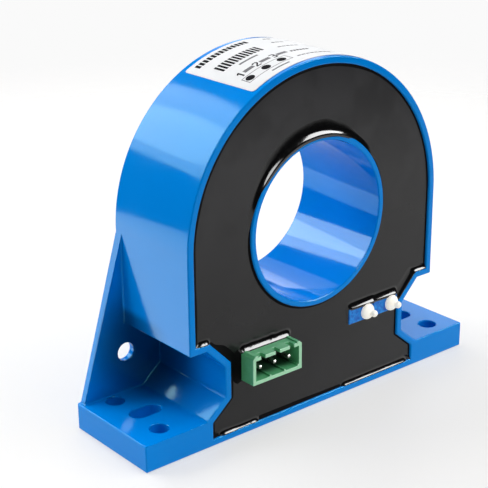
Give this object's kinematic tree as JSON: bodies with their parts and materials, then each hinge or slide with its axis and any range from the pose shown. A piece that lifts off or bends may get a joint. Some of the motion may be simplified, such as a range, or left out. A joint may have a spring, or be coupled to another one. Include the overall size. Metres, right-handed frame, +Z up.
{
  "type": "current transmitter",
  "caption": "Potted Hall-effect current transmitter: arched housing with a round conductor window, drilled feet and rear plates, plug header and sealed trimmers on the front.",
  "frame": {"origin": "centre of the underside of the feet, midway across the width and the depth of the housing", "axes": "+X to the right as the potted front is looked at, +Y from the front to the back along the window, +Z up"},
  "size_m": [0.12, 0.0366, 0.1001],
  "materials": {
    "housing_blue": "glossy moulded plastic",
    "resin_black": "smooth cured epoxy",
    "core_steel": "coated strip-wound steel",
    "lead_tin": "tinned",
    "pin_tin": "bright tin plate",
    "board_green": "solder mask",
    "header_green": "satin moulded plastic",
    "trimmer_blue": "glossy moulded plastic",
    "screw_brass": "turned",
    "seal_white": "dried lacquer",
    "label_white": "printed film",
    "can_aluminium": "drawn can",
    "chip_black": "moulded compound",
    "ceramic_tan": "fired ceramic",
    "resistor_black": "printed film on ceramic"
  },
  "bodies": {
    "root": {"housing": "housing_blue", "potting_resin": "resin_black", "magnetic_core": "core_steel", "hall_leads": "lead_tin", "zero_trimmer_leads": "lead_tin", "span_trimmer_leads": "lead_tin", "terminal_pin_1": "pin_tin", "terminal_pin_2": "pin_tin", "terminal_pin_3": "pin_tin", "circuit_board": "board_green", "terminal_header": "header_green", "zero_trimmer_case": "trimmer_blue", "span_trimmer_case": "trimmer_blue", "zero_trimmer_screw": "screw_brass", "span_trimmer_screw": "screw_brass", "zero_trimmer_seal": "seal_white", "span_trimmer_seal": "seal_white", "rating_label": "label_white", "input_capacitor": "can_aluminium", "output_capacitor": "can_aluminium", "hall_element": "chip_black", "voltage_regulator": "chip_black", "amplifier_chip": "chip_black", "driver_chip": "chip_black", "protection_diode": "chip_black", "ceramic_capacitors": "ceramic_tan", "chip_resistors": "resistor_black"}
  },
  "joints": []
}
